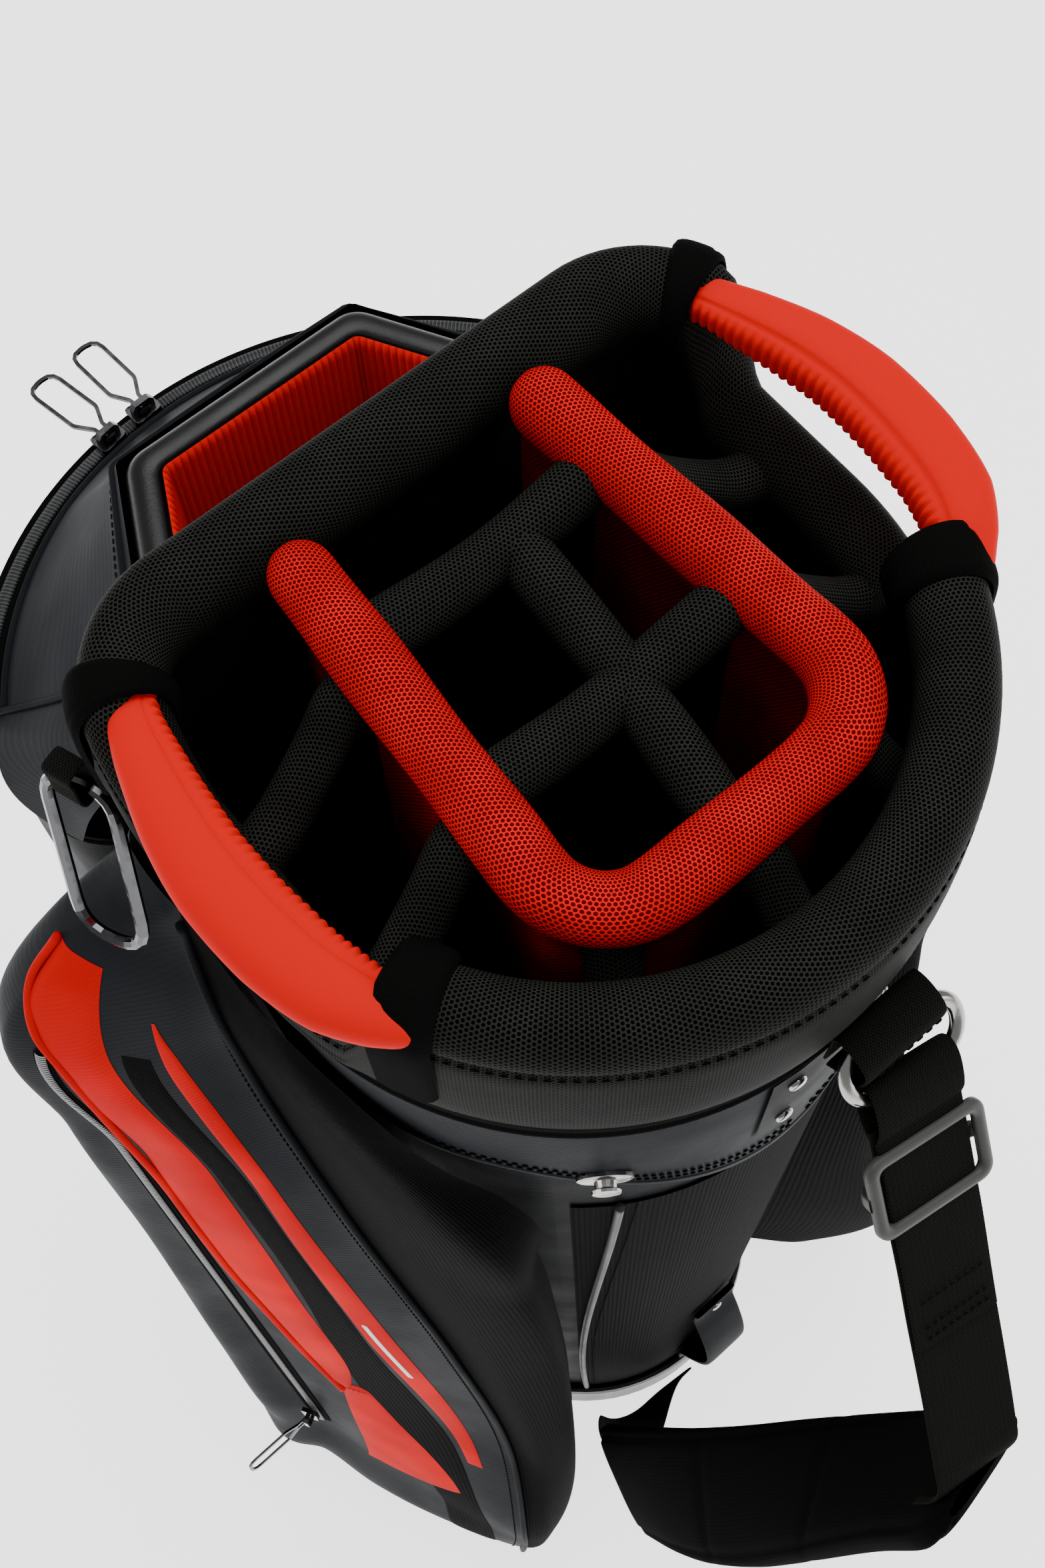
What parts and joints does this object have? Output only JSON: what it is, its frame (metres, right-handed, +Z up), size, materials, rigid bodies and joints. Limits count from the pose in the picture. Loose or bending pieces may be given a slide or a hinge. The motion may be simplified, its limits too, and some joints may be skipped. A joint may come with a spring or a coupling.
{
  "type": "golf cart bag",
  "caption": "Golf cart bag with a divided padded top, putter well, moulded grips, zipped side and front pockets and a hung shoulder strap.",
  "frame": {"origin": "centre of the base cup's underside, on the floor the bag stands on", "axes": "+Z up along the bag's length; -Y towards the putter well and front pocket; +Y towards the spine and strap; +X towards the pocket with the red panel"},
  "size_m": [0.5246, 0.5613, 0.8876],
  "materials": {
    "leather_black": "embossed synthetic leather, satin",
    "leather_red": "smooth synthetic leather, satin",
    "woven_black": "ribbed woven polyester",
    "webbing_black": "woven webbing and binding tape",
    "mesh_black": "padded air mesh",
    "mesh_red": "padded air mesh",
    "rubber_red": "soft moulded rubber, matte",
    "plastic_black": "moulded plastic",
    "plastic_grey": "moulded plastic, matte grey",
    "metal_dark": "dark nickel, polished",
    "metal_bright": "bright nickel, polished"
  },
  "bodies": {
    "bag": {"base_cup": "plastic_black", "binding_band": "webbing_black", "body_tube": "leather_black", "chape": "webbing_black", "chape_plate": "leather_black", "collar_core": "plastic_grey", "collar_pad": "mesh_black", "cuff_left_front": "webbing_black", "cuff_left_rear": "webbing_black", "cuff_right_front": "webbing_black", "cuff_right_rear": "webbing_black", "divider_cross_front": "mesh_black", "divider_cross_rear": "mesh_black", "divider_long_front": "mesh_black", "divider_long_rear": "mesh_black", "divider_outer_1": "mesh_black", "divider_outer_2": "mesh_black", "divider_outer_3": "mesh_black", "divider_outer_4": "mesh_black", "divider_outer_5": "mesh_black", "divider_outer_6": "mesh_black", "divider_outer_7": "mesh_black", "divider_u": "mesh_red", "front_deck": "woven_black", "front_pocket": "leather_black", "front_zip": "webbing_black", "grab_handle": "leather_black", "handle_left": "rubber_red", "handle_right": "rubber_red", "left_gusset": "woven_black", "left_piping": "leather_black", "left_pocket": "leather_black", "left_red_panel": "leather_red", "left_zip": "webbing_black", "rain_stud": "metal_bright", "right_gusset": "woven_black", "right_pocket": "leather_black", "right_zip": "webbing_black", "spine_panel": "woven_black", "towel_loop": "webbing_black", "well_liner": "mesh_red", "well_rim": "plastic_black", "well_sock": "woven_black", "yoke_band": "leather_black"},
    "front_slider_a_body": {"front_slider_a": "metal_dark"},
    "front_slider_b_body": {"front_slider_b": "metal_dark"},
    "front_pull_a_body": {"front_pull_a": "metal_dark"},
    "front_pull_b_body": {"front_pull_b": "metal_dark"},
    "left_slider_body": {"left_slider": "metal_dark"},
    "left_pull_body": {"left_pull": "metal_dark"},
    "right_slider_body": {"right_slider": "metal_dark"},
    "right_pull_body": {"right_pull": "metal_dark"},
    "towel_ring_body": {"towel_ring": "metal_dark"},
    "strap": {"strap_ring": "metal_bright", "strap_loop": "webbing_black", "strap_webbing": "webbing_black", "shoulder_pad": "woven_black", "strap_tail": "webbing_black"},
    "strap_slider": {"tri_glide": "plastic_grey"}
  },
  "joints": [
    {"name": "front_zip_a", "type": "hinge", "parent": "bag", "child": "front_slider_a_body", "pos_m": [0, -0.11, 0.722], "axis": [0, 0, 1], "range_deg": [-54, 0.9]},
    {"name": "front_pull_a_swing", "type": "hinge", "parent": "front_slider_a_body", "child": "front_pull_a_body", "pos_m": [0.00758, -0.27082, 0.7344], "axis": [-0.9989, -0.0471, 0], "range_deg": [-8, 130]},
    {"name": "front_zip_b", "type": "hinge", "parent": "bag", "child": "front_slider_b_body", "pos_m": [0, -0.11, 0.722], "axis": [0, 0, 1], "range_deg": [-0.9, 42]},
    {"name": "front_pull_b_swing", "type": "hinge", "parent": "front_slider_b_body", "child": "front_pull_b_body", "pos_m": [0.02629, -0.26884, 0.7344], "axis": [-0.9866, -0.1633, 0], "range_deg": [-8, 130]},
    {"name": "left_zip_slide", "type": "slide", "parent": "bag", "child": "left_slider_body", "axis": [-0.0433, -0.1722, 0.9841], "range_m": [0, 0.4]},
    {"name": "left_pull_swing", "type": "hinge", "parent": "left_slider_body", "child": "left_pull_body", "pos_m": [0.22137, 0.0027, 0.20632], "axis": [-0.0433, -0.1722, 0.9841], "range_deg": [-48, 100]},
    {"name": "right_zip_slide", "type": "slide", "parent": "bag", "child": "right_slider_body", "axis": [0.0433, -0.1722, 0.9841], "range_m": [0, 0.4]},
    {"name": "right_pull_swing", "type": "hinge", "parent": "right_slider_body", "child": "right_pull_body", "pos_m": [-0.22137, 0.0027, 0.20632], "axis": [-0.0433, 0.1722, -0.9841], "range_deg": [-48, 100]},
    {"name": "towel_ring_swing", "type": "hinge", "parent": "bag", "child": "towel_ring_body", "pos_m": [0.13217, -0.09757, 0.82543], "axis": [0.3832, -0.8915, -0.2416], "range_deg": [-1, 75]},
    {"name": "strap_swing", "type": "hinge", "parent": "bag", "child": "strap", "pos_m": [-0.014, 0.1192, 0.786], "axis": [0.0566, 0.0025, -0.9984], "range_deg": [-0.8, 4]},
    {"name": "strap_slider_slide", "type": "slide", "parent": "strap", "child": "strap_slider", "axis": [0.2208, 0.6126, -0.7589], "range_m": [-0.001, 0.015]}
  ]
}
